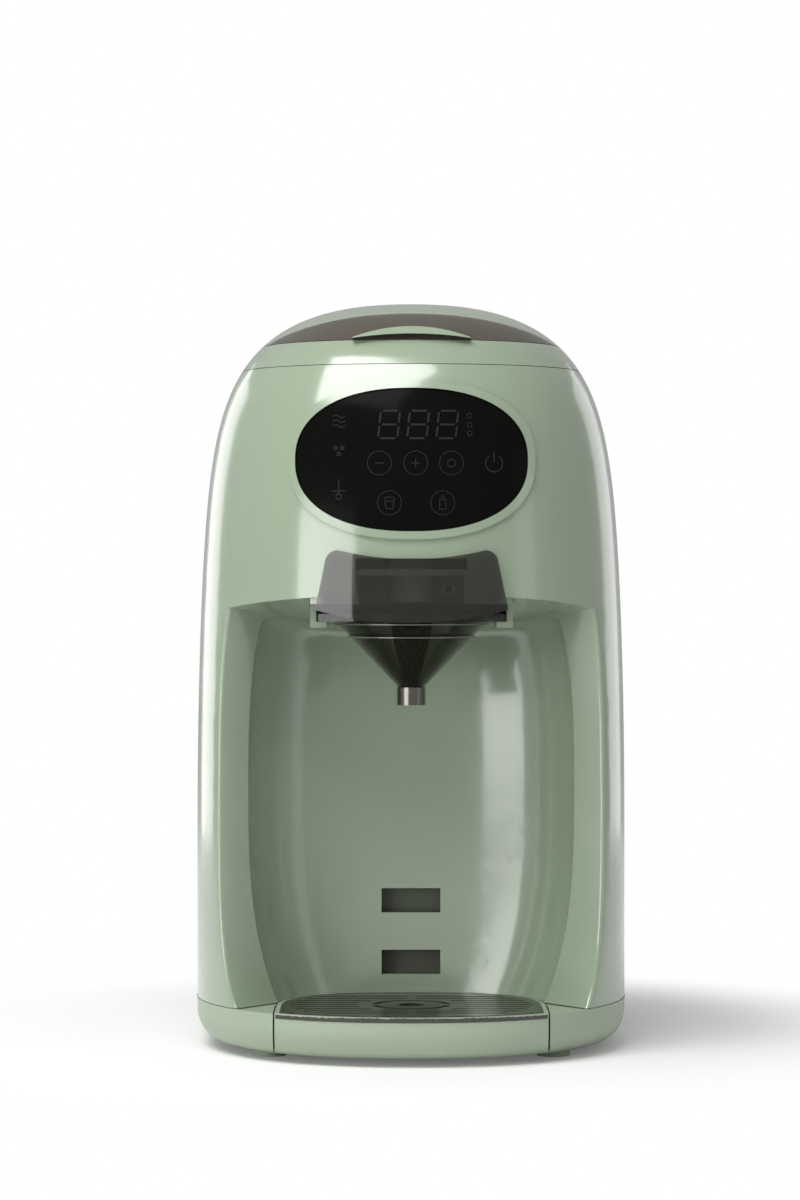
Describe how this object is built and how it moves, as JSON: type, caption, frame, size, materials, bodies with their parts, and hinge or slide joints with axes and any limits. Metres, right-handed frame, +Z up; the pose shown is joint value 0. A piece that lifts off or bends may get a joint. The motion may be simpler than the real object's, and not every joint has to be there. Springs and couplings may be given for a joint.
{
  "type": "baby formula maker",
  "caption": "Countertop powder and water mixer with an arched body, a bottle niche, a tray, a powder lid, a funnel and a rear tank.",
  "frame": {"origin": "middle of the footprint on the table, at the height of the feet's undersides", "axes": "front faces -Y, +X to the right seen from the front, +Z up"},
  "size_m": [0.2106, 0.3017, 0.3621],
  "materials": {
    "green_gloss": "glossy moulded ABS, sage green",
    "green_satin": "satin moulded ABS, sage green",
    "smoke": "smoked clear plastic",
    "smoke_tank": "smoked clear water tank plastic",
    "smoke_dark": "dark smoked gloss plastic",
    "black_lens": "black polished panel lens",
    "steel": "polished stainless steel",
    "white_plastic": "white moulded plastic",
    "clear_plastic": "clear moulded plastic",
    "black_plastic": "black moulded plastic",
    "board_green": "circuit board",
    "silicone": "silicone hose",
    "foot_rubber": "soft rubber, sage green"
  },
  "bodies": {
    "housing": {"body_shell": "green_gloss", "rear_cover": "green_gloss", "tray_hook_sockets": "green_gloss", "base_pan": "green_satin", "top_collar": "green_gloss", "lid_pin": "steel", "powder_hopper": "clear_plastic", "dosing_plate": "white_plastic", "dosing_motor": "steel", "powder_chute": "white_plastic", "dispenser_block": "green_gloss", "panel_lens": "black_lens", "panel_bezel": "green_gloss", "control_board": "board_green", "digit_display": "black_plastic", "touch_springs": "steel", "board_bracket": "white_plastic", "rear_bay": "green_gloss", "tank_inlet_seat": "silicone", "water_pump": "black_plastic", "pump_cradle": "black_plastic", "water_heater": "steel", "heater_stand": "black_plastic", "temperature_sensor": "steel", "suction_hose": "silicone", "feed_hose": "silicone", "hot_hose": "silicone", "water_spout": "steel", "power_board": "board_green", "board_standoffs": "black_plastic", "power_inlet": "black_plastic", "drive_chassis": "white_plastic", "rubber_feet": "foot_rubber"},
    "powder_lid": {"lid_frame": "green_gloss", "lid_window": "smoke", "lid_grip": "green_gloss"},
    "funnel_unit": {"funnel": "smoke", "funnel_nozzle": "steel", "funnel_cover": "smoke"},
    "tray": {"drip_tray": "green_satin"},
    "grille": {"tray_grille": "smoke_dark"},
    "tank": {"water_tank": "smoke_tank", "valve_cage": "white_plastic"},
    "tank_cap": {"tank_lid": "green_gloss"},
    "tank_valve": {"valve_plunger": "white_plastic"},
    "dosing_drive": {"dosing_wheel": "white_plastic", "drive_spindle": "steel", "powder_stirrer": "white_plastic", "spindle_gear": "white_plastic"},
    "motor_rotor": {"motor_pinion": "white_plastic", "motor_shaft": "steel"}
  },
  "joints": [
    {"name": "lid_hinge", "type": "hinge", "parent": "housing", "child": "powder_lid", "pos_m": [0, 0.053, 0.346], "axis": [-1, 0, 0], "range_deg": [0, 95]},
    {"name": "funnel_slide", "type": "slide", "parent": "housing", "child": "funnel_unit", "axis": [0, -1, 0], "range_m": [0, 0.1]},
    {"name": "tray_slide", "type": "slide", "parent": "housing", "child": "tray", "axis": [0, -1, 0], "range_m": [0, 0.13]},
    {"name": "grille_lift", "type": "slide", "parent": "tray", "child": "grille", "axis": [0, 0, 1], "range_m": [0, 0.03]},
    {"name": "tank_lift", "type": "slide", "parent": "housing", "child": "tank", "axis": [0, 0, 1], "range_m": [0, 0.32]},
    {"name": "tank_cap_lift", "type": "slide", "parent": "tank", "child": "tank_cap", "axis": [0, 0, 1], "range_m": [0, 0.05]},
    {"name": "valve_rise", "type": "slide", "parent": "tank", "child": "tank_valve", "axis": [0, 0, 1], "range_m": [0, 0.002], "stiffness_N_per_m": 150, "springref_m": -0.001},
    {"name": "dosing_turn", "type": "hinge", "parent": "housing", "child": "dosing_drive", "pos_m": [0, -0.058, 0.25], "axis": [0, 0, 1], "continuous": true},
    {"name": "motor_turn", "type": "hinge", "parent": "housing", "child": "motor_rotor", "pos_m": [0, -0.02535, 0.24], "axis": [0, 0, 1], "continuous": true}
  ],
  "couplings": [
    {"joint": "motor_turn", "follows": "dosing_turn", "ratio": -4}
  ]
}
